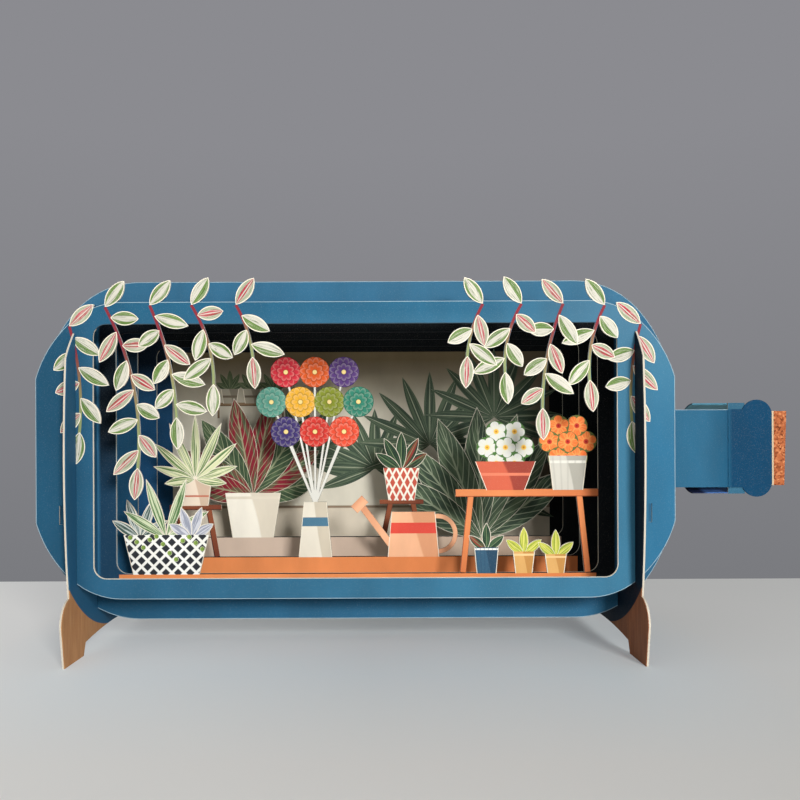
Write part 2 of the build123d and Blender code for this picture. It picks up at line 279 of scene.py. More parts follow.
def dress(name, finish):
    """Gives a CAD node its finish."""
    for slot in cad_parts[name].material_slots:
        slot.material = finish


# The front's ink carries painted shade and painted light: it deepens from right to left as light from
# the right falls off, along the top, and once more past the left support as its painted shadow, and
# it has a painted highlight at its upper right
front_finish, tree = new_finish("front_painted_light_and_shade_print")
painted_lit_right_blue = overprint(ink(56, 112, 140), (beyond(tree, "Z", -10, 40), ink(64, 116, 143)))
front_blue_painted_shade = overprint(
    ink(39, 89, 118), (beyond(tree, "X", -85, 90), painted_lit_right_blue),
    (beyond(tree, "Z", 40, 47) * 0.75, ink(33, 91, 121)),
    (beyond(tree, "X", 45, 90) * beyond(tree, "Z", 30, 45), ink(69, 115, 141)),
    (beyond(tree, "X", -88, -97), ink(30, 78, 105)),
    (beyond(tree, "X", 92, 100) * beyond(tree, "Z", 30, 0), ink(44, 107, 141)))
dress("front_frame", lay_card(front_finish, front_blue_painted_shade, ink(46, 98, 128)))

ink_levels = dict.fromkeys(sheet_order, 0.03)
ink_step = 0.002
ink_thickness = 0.018
print_trim = 0.06
stem_trim = 0.08
edge_width = 0.2
edge_inset = 0.03
stem_width = 1.1
between_slots = np.linspace(-slot_side[0], slot_side[0], 90)


def grid(rows, columns):
    """Two parameters from -1 to 1: one along a shape and one across it."""
    return np.meshgrid(np.linspace(-1, 1, rows), np.linspace(-1, 1, columns), indexing="ij")


def shape(x, y, u, v, rim, tone):
    """A printed shape as one stack of grids: its place, its pattern, mm to its edge, its tone."""
    return np.stack(np.broadcast_arrays(x, y, u, v, rim, tone), axis=-1)


def leaf(root, heading, length, width, tone):
    """Leaf between two equal arcs. For a half length a and a half width h the arcs have the
    radius R = (a^2 + h^2) / 2h, and half the width at p from the middle is
    sqrt(R^2 - p^2) - (R - h)."""
    s, t = grid(13, 5)
    a, h = length / 2 - print_trim, width / 2 - print_trim
    radius = (a**2 + h**2) / (2 * h)
    half = np.sqrt(radius**2 - (a * s) ** 2) - (radius - h) + 0.01
    along, across = length / 2 + a * s, half * t
    turn = np.radians(heading)
    x = root[0] + along * np.cos(turn) - across * np.sin(turn)
    y = root[1] + along * np.sin(turn) + across * np.cos(turn)
    return shape(x, y, (s + 1) / 2, (t + 1) / 2, half * (1 - np.abs(t)), tone)


def strip(path, inner, outer, tone=0.0):
    """Strip along a path: each point moves across its heading by the inner and outer distance."""
    path = np.asarray(path, float)
    ahead = np.gradient(path, axis=0)
    ahead /= np.linalg.norm(ahead, axis=1, keepdims=True)
    left = np.stack([-ahead[:, 1], ahead[:, 0]], axis=1)
    shift = np.array([inner, outer])
    x = path[:, :1] + left[:, :1] * shift
    y = path[:, 1:] + left[:, 1:] * shift
    u = np.linspace(0, 1, len(path))[:, None]
    return shape(x, y, u, np.array([0.0, 1.0]), 0.0, tone)


def print_piece(name, shapes, sheet, finish):
    """Joins printed shapes to one layer on a sheet's front. Each shape lies one small step
    further out than all that is printed on the sheet before it, so that no two share a plane."""
    face_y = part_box(sheet)[0].y
    stacks, quads, count = [], [], 0
    for stack in shapes:
        ahead = stack[1:, :-1, :2] - stack[:-1, :-1, :2]
        aside = stack[:-1, 1:, :2] - stack[:-1, :-1, :2]
        if (ahead[..., 0] * aside[..., 1] - ahead[..., 1] * aside[..., 0]).sum() < 0:
            stack = stack[:, ::-1]
        rows, columns = stack.shape[:2]
        out = np.full((rows, columns, 1), ink_levels[sheet])
        ink_levels[sheet] += ink_step
        stacks.append(np.concatenate([stack, out], axis=-1).reshape(-1, 7))
        index = count + np.arange(rows * columns).reshape(rows, columns)
        corners = (index[:-1, :-1], index[1:, :-1], index[1:, 1:], index[:-1, 1:])
        quads.append(np.stack(corners, axis=-1).reshape(-1, 4))
        count += rows * columns
    points, quads = np.concatenate(stacks), np.concatenate(quads)
    corners = np.stack([axis_x + points[:, 0] / 1000, face_y - points[:, 6] / 1000,
                        axis_z + points[:, 1] / 1000], axis=1)
    mesh = bpy.data.meshes.new(name)
    mesh.from_pydata(corners.tolist(), [], quads.tolist())
    pattern = mesh.uv_layers.new(name="print")
    pattern.data.foreach_set("uv", points[quads.ravel(), 2:4].ravel())
    for column, title in ((4, "rim"), (5, "tone")):
        values = mesh.attributes.new(title, "FLOAT", "POINT")
        values.data.foreach_set("value", points[:, column].copy())
    mesh.materials.append(finish)
    piece = bpy.data.objects.new(name, mesh)
    bpy.context.scene.collection.objects.link(piece)
    layer = piece.modifiers.new("layer", "SOLIDIFY")
    layer.thickness = ink_thickness / 1000
    layer.offset = -1
    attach(piece, "root")


def arc(start, middle, end, count):
    """Points on the circle through three points. Its centre is as far from the first point as
    from the second and the third, which gives two linear equations."""
    corners = np.array([start, middle, end], float)
    squares = (corners**2).sum(axis=1)
    centre = np.linalg.solve(2 * (corners[1:] - corners[0]), squares[1:] - squares[0])
    x, y = (corners - centre).T
    angles = np.unwrap(np.arctan2(y, x))
    turn = np.linspace(angles[0], angles[2], count)
    return centre + np.hypot(x[0], y[0]) * np.stack([np.cos(turn), np.sin(turn)], axis=1)


def section_height(x, depth):
    """Half height of the bottle's section: sqrt(radius^2 - depth^2). Past the barrel the radius
    falls on an ellipse from the body's radius to the core radius."""
    past = np.clip((np.abs(x) - barrel_half) / end_length, 0, 1)
    radius = body_radius - (body_radius - end_core) * (1 - np.sqrt(1 - past**2))
    return np.sqrt(radius**2 - depth**2)


def outline_edging(sheet):
    """Bare card inside a sheet's outline: a strip between the slots and one round both ends,
    where the print stops short of the cut."""
    depth = sheet_depths[sheet]
    end_turn = np.arccos((np.hypot(end_flat, depth) - end_core) / (body_radius - end_core))
    reaches = barrel_half + end_length * np.sin(end_turn * np.arange(5) / 4)
    rim = np.stack([reaches, section_height(reaches, depth)], axis=1)
    quarter = np.concatenate([arc(*rim[:3], 12), arc(*rim[2:], 12)[1:]])
    under = np.stack([between_slots, -np.interp(np.abs(between_slots), *quarter.T)], axis=1)
    beside = (slot_side[1], -np.interp(slot_side[1], *quarter.T))
    right = [beside, *(quarter[quarter[:, 0] > slot_side[1] + 0.2] * (1, -1)), *quarter[::-1]]
    around = np.array([*right, *((x * -1, y) for x, y in right[::-1])])
    return [strip(path, edge_inset, edge_inset + edge_width) for path in (under, around)]


def window_edging(sheet):
    """Bare card round a sheet's window, in two strips."""
    wide, high = window_sides[sheet] - window_corner, window_top - window_corner
    low = window_floors[sheet] + window_corner
    corner = np.array([[wide, high], [-wide, high], [-wide, low], [wide, low]])
    turn = np.radians(np.linspace(0, 90, 10)[None] + np.arange(4)[:, None] * 90)
    ring = corner[:, None] + window_corner * np.stack([np.cos(turn), np.sin(turn)], axis=2)
    ring = ring.reshape(-1, 2)
    cut = int(len(ring) / 2)
    halves = (ring[:cut + 1], np.concatenate([ring[cut:], ring[:1]]))
    return [strip(half, -edge_inset, -edge_inset - edge_width) for half in halves]


# The outline's bare edge is stained by the ink, and the window's one has painted shade at its top,
# where it lies in shadow
sheet = "front_frame"
outline_edge, _ = new_finish("outline_card_edge")
lay_print(outline_edge, ink(148, 172, 184), roughness=0.75)
front_edge, tree = new_finish("front_window_edge")
shaded_edge_ink = overprint(ink(206, 198, 180), (beyond(tree, "Z", 16, 36), ink(60, 84, 98)))
lay_print(front_edge, shaded_edge_ink, roughness=0.75)


def print_edging(label, sheet, window_edge):
    """Bare edges of a sheet with a window."""
    print_piece(f"{label}_outline", outline_edging(sheet), sheet, outline_edge)
    print_piece(f"{label}_window_edge", window_edging(sheet), sheet, window_edge)


print_edging("front", sheet, front_edge)

leaf_lengths = (11.0, 9.6, 12.0, 9.0)
leaf_splays = (44.0, 62.0, 52.0, 72.0, 36.0)
leaf_width = 4.9
crown_splay = 64.0
leaf_spacing = 5.1
first_leaf = 4.0
vine_insets = ((-8, 4, 19, 33, 48), (-8, 4, 18, 32, 45))
vine_lengths = ((37, 57, 40, 29, 19.5), (34, 27, 37, 25, 19.5))
vine_headings = ((-74, -62, -66, -58, -60), (-106, -118, -113, -121, -119))
vine_turns = ((-22, -34, -22, -34, -26), (22, 34, 24, 36, 26))
draw = np.random.default_rng(4)


def on_vine(start, heading, radius, distance):
    """Point and heading on a vine that runs on a circle: heading + distance / radius."""
    first = np.radians(heading)
    last = first + distance / radius
    x = start[0] + radius * (np.sin(last) - np.sin(first))
    y = start[1] - radius * (np.cos(last) - np.cos(first))
    return np.stack([x, y], axis=-1), np.degrees(last)


stems, leaves = [], []
for hand, insets, lengths, headings, turns in zip((-1, 1), vine_insets, vine_lengths,
                                                  vine_headings, vine_turns):
    for order, (inset, length, heading, turn) in enumerate(zip(insets, lengths, headings, turns)):
        vine_x = hand * (window_sides[sheet] - inset)
        start = (vine_x, float(section_height(vine_x, sheet_depths[sheet])) - stem_width)
        radius = length / np.radians(turn)
        path, _ = on_vine(start, heading, radius, np.linspace(0, length, 16))
        half_stem = stem_width / 2 - stem_trim
        stems.append(strip(path, -half_stem, half_stem, draw.random()))
        _, tip_heading = on_vine(start, heading, radius, length)
        root, _ = on_vine(start, heading, radius, length - stem_width)
        leaves.append(leaf(root, tip_heading, leaf_lengths[0], leaf_width, draw.random()))
        crown_heading = heading + 180 + np.copysign(crown_splay, turn)
        leaves.append(leaf(start, crown_heading, leaf_lengths[0], leaf_width, draw.random()))
        for n in range(int((length - first_leaf) / leaf_spacing)):
            root, root_heading = on_vine(start, heading, radius, first_leaf + n * leaf_spacing)
            splay = (-1) ** n * leaf_splays[(n + order) % len(leaf_splays)]
            leaf_length = leaf_lengths[(n + order) % len(leaf_lengths)]
            leaves.append(leaf(root, root_heading + splay, leaf_length, leaf_width, draw.random()))

# The garlands' stems turn from red-brown to green on their way down
stem_finish, tree = new_finish("garland_stem_print")
lower = fade(pattern_parts(tree)[0], 0.25, 0.8)
lay_print(stem_finish, overprint(ink(134, 48, 58), (lower, ink(142, 152, 104))))
print_piece("garland_stems", stems, sheet, stem_finish)

# The garlands' leaves are green on one half, green along both edges or pink up the middle, by
# their tone. The bands wander with the streaks, and fine lines follow them
pale, green = ink(208, 204, 190), ink(102, 132, 66)
deep, pink = ink(70, 96, 48), ink(186, 54, 76)
garland_finish, tree = new_finish("garland_leaf_print")
tone = attribute(tree, "tone")
halved, pinked = tone < 0.4, tone > 0.68
across = pattern_parts(tree)[1]
middle = abs(across - 0.5)
wander = streaks(tree, 1.2, 5.0, 3.0) * 0.3 - 0.15
half_green, both_green = fade(across + wander, 0.52, 0.47), fade(middle + wander, 0.19, 0.24)
bands = node(tree, "ShaderNodeMix", {0: halved, 2: both_green, 3: half_green})
layers = [(bands * (pinked * -0.5 + 1.0), green), (fade(middle + wander, 0.2, 0.14) * pinked, pink)]
for seed, count, share, line_ink in ((7.0, 9.0, 0.75, deep), (13.0, 12.0, 0.6, pale)):
    off_line = abs(streaks(tree, 0.8, count, seed) - 0.5)
    layers.append((fade(off_line, 0.035, 0.01) * share, line_ink))
lay_print(garland_finish, overprint(pale, *layers, (fade(middle, 0.05, 0.025), pale)), 0.36)
print_piece("garland_leaves", leaves, sheet, garland_finish)

# Second sheet. The same card with a smaller window. A planter, a bench and potted plants are
# die-cut from the card inside it, and an orange floor is printed under its window.
sheet = "second_frame"
floor, side = window_floors[sheet], window_sides[sheet]
card_back = ink(206, 200, 186)
# Painted shade: a near-black ink for inside the bottle, and a deep blue for the shadow under the front
# sheet
painted_shade_black = ink(12, 17, 21)
painted_shadow_blue = ink(24, 70, 97)
bar_trim = 0.05
pot_sink = 0.4
outer_share = 0.55
floor_inset = 0.8
floor_drop = 0.3

# Inner card: masks for what lies behind the window, for its painted shade, nearly black, which is all
# but the left side's strips up to a height, and for the painted shadow just below the front sheet,
# deeper towards the left
inner_card, (centre_x, centre_z, dark_from) = new_group(
    "inner_card", {"Axis X": axis_x, "Axis Z": axis_z, "Dark From": 0.014})
x, _, z = split(object_place(inner_card))
aside, above = x - centre_x, z - centre_z
inside = fade(abs(aside), 0.0935, 0.0925) * fade(abs(above), 0.0497, 0.0487)
painted_top_shade = fade(above - dark_from, 0.0, 0.022) * 0.9
dark = measure("MAXIMUM", painted_top_shade, fade(aside, -0.084, -0.074))
painted_shadow_under = measure("MAXIMUM", fade(aside, 0.02, -0.085) * 0.75, fade(above, -0.0585, -0.0545))
give(inner_card, {
    "Inside": inside, "Dark": inside * dark, "Under": fade(above, -0.044, -0.05) * painted_shadow_under})


def inner_print(tree, outside, inside, dark_from=0.014):
    """Blue print of a sheet behind the front one, with its own deeper ink inside the bottle and
    near-black ink over most of that, both painted shade, and a painted shadow under the front sheet.
    """
    inner = placed(tree, inner_card, {"Dark From": dark_from})
    return overprint(outside, (inner["Under"] * 0.85, painted_shadow_blue), (inner["Inside"], inside),
                     (inner["Dark"], painted_shade_black))


def bar(start, end, width, trim=bar_trim):
    """Straight bar of an even width from one point to another."""
    return strip(np.linspace(start, end, 6), trim - width / 2, width / 2 - trim)


def pot(x, floor, top_width, base_width, height):
    """Tapered pot: its half width grows evenly from its base, sunk a little, to its rim."""
    s, t = grid(7, 7)
    rise = (t + 1) / 2
    half = base_width / 2 + (top_width - base_width) / 2 * rise - print_trim
    y = floor - pot_sink + (height + pot_sink - print_trim) * rise
    return shape(x + half * s, y, (s + 1) / 2, rise, half * (1 - np.abs(s)), 0.0)


def disc(x, y, radius, tone):
    """Round shape from a square grid: a point (s, t) goes to
    (s sqrt(1 - t^2 / 2), t sqrt(1 - s^2 / 2)) times the radius."""
    s, t = grid(11, 11)
    across, up = s * np.sqrt(1 - t**2 / 2), t * np.sqrt(1 - s**2 / 2)
    reach = radius - print_trim
    rim = reach * (1 - np.hypot(across, up))
    return shape(x + reach * across, y + reach * up, across / 2 + 0.5, up / 2 + 0.5, rim, tone)


def leaf_fan(x, y, headings, length, width):
    """Fan of leaves from one root, the middle ones the longest."""
    lengths = length * (outer_share + (1 - outer_share) * np.sin(np.radians(headings)))
    return [leaf((x, y), heading, one, width, draw.random())
            for heading, one in zip(headings, lengths)]


def floor_strip(sheet, height):
    """Floor printed below a window, as wide as the window."""
    reach = window_sides[sheet] - floor_inset
    middle = window_floors[sheet] - floor_drop - height / 2
    return bar((-reach, middle), (reach, middle), height)


# Plain paint: one ink that deepens along the shape, and a line of a third ink along its base
plain_paint, (colour, shade, line, line_height) = new_group("plain_paint", {
    "Colour": cream, "Shade": cream, "Line": cream, "Line Height": 0.0})
u, v = pattern_parts(plain_paint)
give(plain_paint, {
    "Colour": overprint(colour, (fade(u, 0.35, 1.0), shade), (v < line_height, line))})


def plain_finish(name, colour, shade, line=cream, line_height=0.0, rim_width=0.0):
    """Painted thing of one ink, with a base line and a bare edge where it has them."""
    finish, tree = new_finish(name)
    sockets = {"Colour": colour, "Shade": shade, "Line": line, "Line Height": line_height}
    return lay_print(finish, placed(tree, plain_paint, sockets)["Colour"], rim_width)


second_finish, tree = new_finish("second_painted_light_and_shade_print")
# The second sheet's blue is painted lighter along its top, and more so at the top right: painted
# light.
painted_lit_top_blue = overprint(ink(50, 102, 133), (beyond(tree, "X", 0, 80), ink(56, 108, 138)))
second_blue_painted_light = overprint(ink(44, 98, 130), (beyond(tree, "Z", 46, 54), painted_lit_top_blue))
printed = inner_print(tree, second_blue_painted_light, ink(28, 64, 90), -0.016)
dress(sheet, lay_card(second_finish, printed, card_back))
orange_floor = plain_finish("orange_floor_print", ink(225, 138, 83), ink(214, 124, 72))
print_piece("second_floor_print", [floor_strip(sheet, 9.0)], sheet, orange_floor)
# The inner sheets' bare window edges are a blue-grey with painted shade: near black on the right and
# at the top.
inner_edge, tree = new_finish("inner_card_edge_painted_shade")
beside = split(object_place(tree))[0] > axis_x - 0.08
shaded_edge_ink = overprint(ink(112, 132, 140), (beside, ink(48, 49, 50)),
                     (beyond(tree, "Z", 36, 41), ink(15, 19, 23)))
lay_print(inner_edge, shaded_edge_ink, roughness=0.75)
print_edging("second", sheet, inner_edge)

planter_x = 17.9 - side
planter = (31.0, 24.0, 14.0)
tufts = (("spiky", -9.5, 15.0, ink(196, 202, 196), ink(70, 92, 84)),
         ("reed", 0.0, 23.0, ink(206, 214, 178), ink(86, 122, 74)),
         ("rosette", 9.0, 12.0, ink(206, 206, 212), ink(150, 154, 168)))
tuft_headings = (32, 71, 109, 148)
tuft_width = 3.8

# Striped leaf: a ground ink with streaks of a stripe ink, a second ink up the middle of a share
# of the leaves, and a rib
striped_leaf, (ground, stripe, second, rib, share, streak, heart_streak) = new_group(
    "striped_leaf", {"Ground": cream, "Stripe": cream, "Second": cream, "Rib": cream, "Share": 0.0,
                     "Streak": 0.5, "Heart Streak": 0.5})
middle = abs(pattern_parts(striped_leaf)[1] - 0.5)
chosen = attribute(striped_leaf, "tone") > 1.0 - share
heart = fade(middle, 0.3, 0.16) * fade(heart_streak, 0.44, 0.52)
give(striped_leaf, {"Colour": overprint(
    ground, (fade(streak, 0.47, 0.53), stripe), (chosen * heart, second),
    (fade(middle, 0.045, 0.02), rib))})


def leaf_finish(name, ground, stripe, rib, rim_width, second=None, share=0.0, along=1.3,
                across=8.0):
    """Striped leaf with its own inks, and with bare card round its edge."""
    finish, tree = new_finish(name)
    sockets = {"Ground": ground, "Stripe": stripe, "Second": second or stripe, "Rib": rib,
               "Share": share, "Streak": streaks(tree, along, across, 3.0),
               "Heart Streak": streaks(tree, 1.0, across, 9.0)}
    return lay_print(finish, placed(tree, striped_leaf, sockets)["Colour"], rim_width)


for tuft, offset, length, ground, stripe in tufts:
    fan = leaf_fan(planter_x + offset, floor + planter[2] - stem_width, tuft_headings, length,
                   tuft_width)
    finish = leaf_finish(f"{tuft}_tuft_print", ground, stripe, stripe, 0.28)
    print_piece(f"{tuft}_tuft", fan, sheet, finish)

# Lattice: slanted coordinates go back and forth, and past the line's width in both of them there
# is a diamond
lattice, (pitch_x, pitch_z, line) = new_group(
    "lattice", {"Pitch X": 4.4, "Pitch Z": 4.4, "Line": 0.13})
x, _, z = split(object_place(lattice))
across, up = x * 1000.0 / pitch_x, z * 1000.0 / pitch_z
rising = measure("PINGPONG", across + up, 0.5)
falling = measure("PINGPONG", across - up, 0.5)
give(lattice, {"Diamond": fade(measure("MINIMUM", rising, falling), line, line + 0.05)})


def lattice_finish(name, ground, diamond, pitch_x, pitch_z, line):
    """Glazed pot with a lattice of diamonds in a second ink."""
    finish, tree = new_finish(name)
    sockets = {"Pitch X": pitch_x, "Pitch Z": pitch_z, "Line": line}
    glazed = overprint(ground, (placed(tree, lattice, sockets)["Diamond"], diamond))
    return lay_print(finish, glazed, 0.25, 0.5)


planter_finish = lattice_finish("planter_lattice_print", ink(242, 240, 232), ink(46, 48, 53),
                                4.4, 4.4, 0.13)
print_piece("planter_print", [pot(planter_x, floor, *planter)], sheet, planter_finish)
bead_radius = 0.95
bead_span = 26.0
bead_drops = (1.0, 2.6, 4.6, 1.8, 0.6, 3.4, 6.6, 8.9, 2.2, 0.8, 3.0, 5.2)
bead_places = planter_x + np.linspace(-bead_span / 2, bead_span / 2, len(bead_drops))
bead_finish = plain_finish("trailing_leaf_print", ink(136, 164, 74), ink(92, 126, 50),
                           rim_width=0.14)
beads = [disc(x, floor + planter[2] - drop, bead_radius, draw.random())
         for x, drop in zip(bead_places, bead_drops)]
print_piece("trailing_leaves", beads, sheet, bead_finish)

bench_span = 51.4
bench_height = 30.0
bench_board = 2.8
bench_legs = ((6.9, -3.0), (45.9, 3.0))
leg_width = 2.2
bench_middle = floor + bench_height - bench_board / 2
bench_top = floor + bench_height
bench_finish = plain_finish("bench_print", ink(222, 136, 84), ink(206, 116, 68), ink(160, 80, 46), 0.1)
legs = [bar((side - inset, bench_middle), (side - inset - splay, floor), leg_width)
        for inset, splay in bench_legs]
board = bar((side - bench_span, bench_middle), (side, bench_middle), bench_board)
print_piece("bench_print", [*legs, board], sheet, bench_finish)

# Round place: how far a point of a round shape is from its middle, and at what angle, turned by
# the shape's tone
full_turn = 6.283
round_place, _ = new_group("round_place", {})
u, v = pattern_parts(round_place)
across, up = u * 2.0 - 1.0, v * 2.0 - 1.0
turned = attribute(round_place, "tone") * full_turn
give(round_place, {"Away": measure("SQRT", across * across + up * up),
                   "Turn": measure("ARCTAN2", up, across) + turned})

# Petal ring: an edge that swings in and out once for each petal. Masks for the ring, the petals'
# pale tips, the seams between them, their veins, and the shade that they throw on what is below
petal_ring, (away, turn, reach, petals, notch) = new_group("petal_ring", {
    "Away": 0.0, "Turn": 0.0, "Reach": 0.98, "Petals": 5.0, "Notch": 0.2})
swing = abs(measure("COSINE", turn * (petals * 0.5)))
lap = reach * (1.0 - (1.0 - measure("POWER", swing, 0.6)) * notch) - away
ringed = fade(lap, 0.0, 0.03)
veins = noise(node(petal_ring, "ShaderNodeCombineXYZ", {
    0: measure("COSINE", turn) * 7.0, 1: measure("SINE", turn) * 7.0, 2: away}), 1.0)
give(petal_ring, {
    "Inside": ringed, "Tip": ringed * fade(lap, 0.2, 0.03), "Seam": ringed * fade(swing, 0.34, 0.0),
    "Vein": ringed * fade(veins, 0.5, 0.58), "Under": (1.0 - ringed) * fade(lap, -0.1, 0.0)})


def blossom_finish(name, petal, blush, eye, eye_spot, ground):
    """Open blossom of five petals on leaf ink, with veins and seams in a blush, and an eye."""
    finish, tree = new_finish(name)
    polar = placed(tree, round_place)
    ring = placed(tree, petal_ring, {**polar, "Petals": 5.0, "Notch": 0.34})
    away = polar["Away"]
    return lay_print(finish, overprint(
        ground, (ring["Inside"], petal), (ring["Vein"] * 0.5, blush), (ring["Seam"] * 0.7, blush),
        (fade(away, 0.5, 0.2) * 0.6, blush), (fade(away, 0.27, 0.21), eye),
        (fade(away, 0.13, 0.08), eye_spot)))


# Pot paint: a body ink, a deeper side to the right of a slanted line, a band and upright ribs
pot_paint, (body, shade, band, band_low, band_high, ribs) = new_group("pot_paint", {
    "Body": cream, "Shade": cream, "Band": cream, "Band Low": 0.5, "Band High": 0.6, "Ribs": 0.0})
u, v = pattern_parts(pot_paint)
ribbed = fade(measure("PINGPONG", u * ribs, 0.5), 0.3, 0.45) * 0.35
give(pot_paint, {"Colour": overprint(
    body, (fade(u - (v * -0.25 + 0.68), 0.0, 0.04), shade),
    ((v > band_low) * (v < band_high), band), (ribbed, shade))})


def pot_finish(name, body, shade, band, band_low, band_high, ribs=0.0):
    """Painted pot with its own inks, band and ribs, and bare card at its sides."""
    finish, tree = new_finish(name)
    sockets = {"Body": body, "Shade": shade, "Band": band, "Band Low": band_low,
               "Band High": band_high, "Ribs": ribs}
    return lay_print(finish, placed(tree, pot_paint, sockets)["Colour"], 0.3, 0.55)


posy_radius = 3.9
posy_ring_radius = 6.6
posy_rise = 5.0
posy_leaf_length = 15.0
pot_leaf_width = 3.4


def posy(x, middle):
    """Ring of six blossoms round a seventh."""
    turn = np.radians(np.arange(6) * 60)
    ring = [disc(x + posy_ring_radius * np.cos(a), middle + posy_ring_radius * np.sin(a),
                 posy_radius, draw.random()) for a in turn]
    return [*ring, disc(x, middle, posy_radius, draw.random())]


white_blossom = blossom_finish("white_blossom_print", ink(216, 215, 210), ink(214, 214, 186),
                               ink(238, 188, 76), ink(196, 130, 50), ink(78, 116, 60))
orange_blossom = blossom_finish("orange_blossom_print", ink(242, 118, 58), ink(250, 172, 96),
                                ink(206, 60, 44), ink(150, 34, 34), ink(104, 110, 58))
fresh_leaf = leaf_finish("fresh_leaf_print", ink(104, 150, 72), ink(62, 104, 56),
                         ink(150, 186, 110), 0.2)
terracotta = pot_finish("terracotta_print", ink(206, 98, 72), ink(156, 66, 52), ink(224, 126, 96),
                        0.5, 0.6)
tin = pot_finish("tin_pail_print", ink(204, 200, 188), ink(172, 168, 156), ink(224, 221, 210),
                 0.78, 0.86, 5.0)
bench_pots = (("bowl", side - 33.4, (22.0, 14.0, 10.0), white_blossom, terracotta),
              ("pail", side - 10.9, (14.0, 11.0, 12.0), orange_blossom, tin))
for name, pot_x, sizes, blossom, _ in bench_pots:
    rim_y = bench_top + sizes[2]
    sprays = leaf_fan(pot_x, rim_y - stem_width, tuft_headings, posy_leaf_length, pot_leaf_width)
    print_piece(f"{name}_leaves", sprays, sheet, fresh_leaf)
    print_piece(f"{name}_blossoms", posy(pot_x, rim_y + posy_rise), sheet, blossom)
for name, pot_x, sizes, _, glaze in bench_pots:
    print_piece(f"{name}_print", [pot(pot_x, bench_top, *sizes)], sheet, glaze)

floor_pot_sizes = ((40.4, 9.0, 9.0), (26.9, 8.0, 7.5), (15.4, 8.0, 6.5))
floor_pot_taper = 1.8
floor_pot_leaf_length = 10.0
floor_pot_headings = (40, 90, 140)
dark_leaf = leaf_finish("dark_leaf_print", ink(66, 92, 64), ink(40, 60, 46), ink(120, 140, 100),
                        0.25, ink(150, 60, 52), 0.5)
yellow_leaf = leaf_finish("yellow_leaf_print", ink(206, 206, 90), ink(150, 164, 62),
                          ink(226, 222, 130), 0.2)
blue_pot = pot_finish("blue_pot_print", ink(56, 92, 116), ink(42, 72, 94), ink(236, 236, 230),
                      0.9, 0.97, 6.0)
kraft_pot = pot_finish("kraft_pot_print", ink(222, 170, 102), ink(198, 142, 76), ink(240, 202, 142),
                       0.8, 0.9)
fans = [leaf_fan(side - inset, floor + height - stem_width, floor_pot_headings,
                 floor_pot_leaf_length, pot_leaf_width) for inset, _, height in floor_pot_sizes]
floor_pots = [pot(side - inset, floor, width, width - floor_pot_taper, height)
              for inset, width, height in floor_pot_sizes]
print_piece("blue_pot_leaves", fans[0], sheet, dark_leaf)
print_piece("kraft_pot_leaves", [*fans[1], *fans[2]], sheet, yellow_leaf)
print_piece("blue_pot_print", floor_pots[:1], sheet, blue_pot)
print_piece("kraft_pot_prints", floor_pots[1:], sheet, kraft_pot)

# Middle sheet. The largest one, which also carries the bottle's neck. A plant on a stool, a jug
# of blossoms and a watering can are die-cut inside its window, over the same orange floor.
sheet = "middle_frame"
floor, side = window_floors[sheet], window_sides[sheet]
neck_start = plain_high.x
neck_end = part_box("neck_lip")[0].x
neck_blue = ink(42, 99, 130)
neck_shade = ink(24, 82, 112)
neck_half = 15.0
neck_fillet = 8.8
middle_finish, tree = new_finish("middle_painted_light_and_shade_print")
along, _, height = split(object_place(tree))
# The middle sheet's blue has a painted highlight at its upper right end.
painted_highlight_right = beyond(tree, "X", 85, 100) * beyond(tree, "Z", 0, 50)
middle_blue_painted_light = overprint(ink(52, 113, 146), (painted_highlight_right, ink(76, 127, 156)))
on_ears = (along > neck_end) * (abs(height - axis_z) > neck_half / 1000)
on_neck = overprint(neck_blue, (fade(along, neck_end - 0.009, neck_end), neck_shade),
                    (on_ears, ink(49, 97, 122)))
printed = overprint(inner_print(tree, middle_blue_painted_light, ink(36, 88, 122)),
                    (fade(along, neck_start, neck_start + 0.004), on_neck))
dress(sheet, lay_card(middle_finish, printed, card_back))
print_piece("middle_floor_print", [floor_strip(sheet, 10.0)], sheet, orange_floor)
print_piece("middle_window_edge", window_edging(sheet), sheet, inner_edge)
crest = np.stack([between_slots, section_height(between_slots, sheet_depths[sheet])], axis=1)
neck_reach = np.linspace(1000 * (neck_start - axis_x) + neck_fillet, 1000 * (neck_end - axis_x), 6)
neck_top = np.stack([neck_reach, np.full(6, neck_half)], axis=1)
top_edges = [strip(path, -edge_inset, -edge_inset - edge_width) for path in (crest, neck_top)]
print_piece("middle_outline", top_edges, sheet, outline_edge)

stool_x = 22.1 - side
stool = (20.0, 20.0, 2.0)
stool_top = floor + stool[1]
blade_pot = (13.0, 10.0, 11.0)
blade_headings = (-8, 17, 41, 65, 90, 115, 139, 163, 188)
blade_length = 25.0
blade_width = 3.8


def small_stool(x, floor, width, height, thickness):
    """Seat board and two splayed legs."""
    seat = floor + height - thickness / 2
    legs = [bar((x + hand * width / 4, seat), (x + hand * width / 2.4, floor), leg_width)
            for hand in (-1, 1)]
    return [*legs, bar((x - width / 2, seat), (x + width / 2, seat), thickness)]


stool_finish = plain_finish("stool_print", ink(140, 78, 52), ink(112, 58, 42), ink(80, 40, 30), 0.12)
print_piece("stool_print", small_stool(stool_x, floor, *stool), sheet, stool_finish)
striped_pot = pot_finish("striped_pot_print", ink(240, 222, 200), ink(212, 186, 162),
                         ink(196, 118, 94), 0.3, 0.36)
print_piece("blade_pot_print", [pot(stool_x, stool_top, *blade_pot)], sheet, striped_pot)
blade_finish = leaf_finish("blade_print", ink(222, 224, 180), ink(104, 134, 80), ink(240, 238, 206),
                           0.3, along=0.9, across=6.0)
blades = leaf_fan(stool_x, stool_top + blade_pot[2] - stem_width, blade_headings, blade_length,
                  blade_width)
print_piece("blades", blades, sheet, blade_finish)

